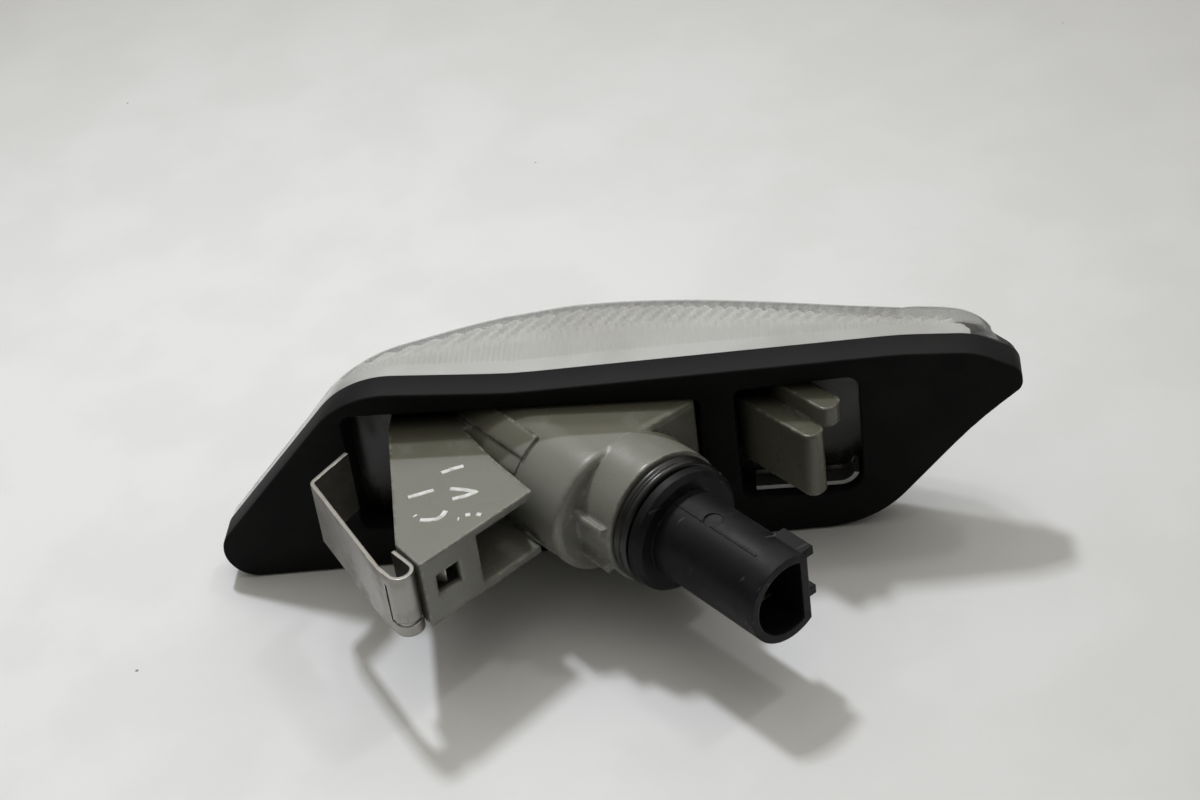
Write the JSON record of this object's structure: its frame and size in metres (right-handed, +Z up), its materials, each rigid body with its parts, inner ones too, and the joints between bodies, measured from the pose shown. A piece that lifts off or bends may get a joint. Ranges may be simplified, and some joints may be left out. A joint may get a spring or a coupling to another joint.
{
  "type": "side repeater lamp",
  "caption": "Teardrop turn signal lamp for a car wing: clear fluted lens, foam gasket, grey socket housing with a steel spring clip and hooks, and a twist-in bulb holder with connector shroud.",
  "frame": {"origin": "on the panel seat, which is the plane of the gasket's back face, where the axis of the bulb socket crosses it, inside the wing panel's opening", "axes": "+X along the lamp to its hook end, +Y out of the car through the lens, +Z up; the socket and its connector point to -Y and +X, 43 degrees away from straight back"},
  "size_m": [0.1072, 0.0555, 0.0308],
  "materials": {
    "lens": "clear acrylic with prism flutes inside, slightly hazed",
    "housing": "warm grey moulded plastic, satin, with pale scuffs on its edges",
    "gasket": "black closed-cell foam, matt, slate grey on the cut edge",
    "spring_clip": "satin spring steel with bright sheared edges",
    "bulb_holder": "blue-black moulded plastic, satin, lightly scuffed",
    "holder_seal": "glossy black rubber",
    "terminals": "tinned brass",
    "bulb_glass": "amber glass",
    "bulb_filament": "drawn wire"
  },
  "bodies": {
    "lamp": {"lens": "lens", "housing": "housing", "gasket": "gasket", "spring_clip": "spring_clip"},
    "holder": {"bulb_holder": "bulb_holder", "holder_seal": "holder_seal", "terminal_upper": "terminals", "terminal_lower": "terminals", "bulb_glass": "bulb_glass", "bulb_filament": "bulb_filament"}
  },
  "joints": [
    {"name": "bulb_holder_twist", "type": "hinge", "parent": "lamp", "child": "holder", "pos_m": [0, 0, 0], "axis": [0.682, -0.7314, 0], "range_deg": [0, 45]}
  ]
}
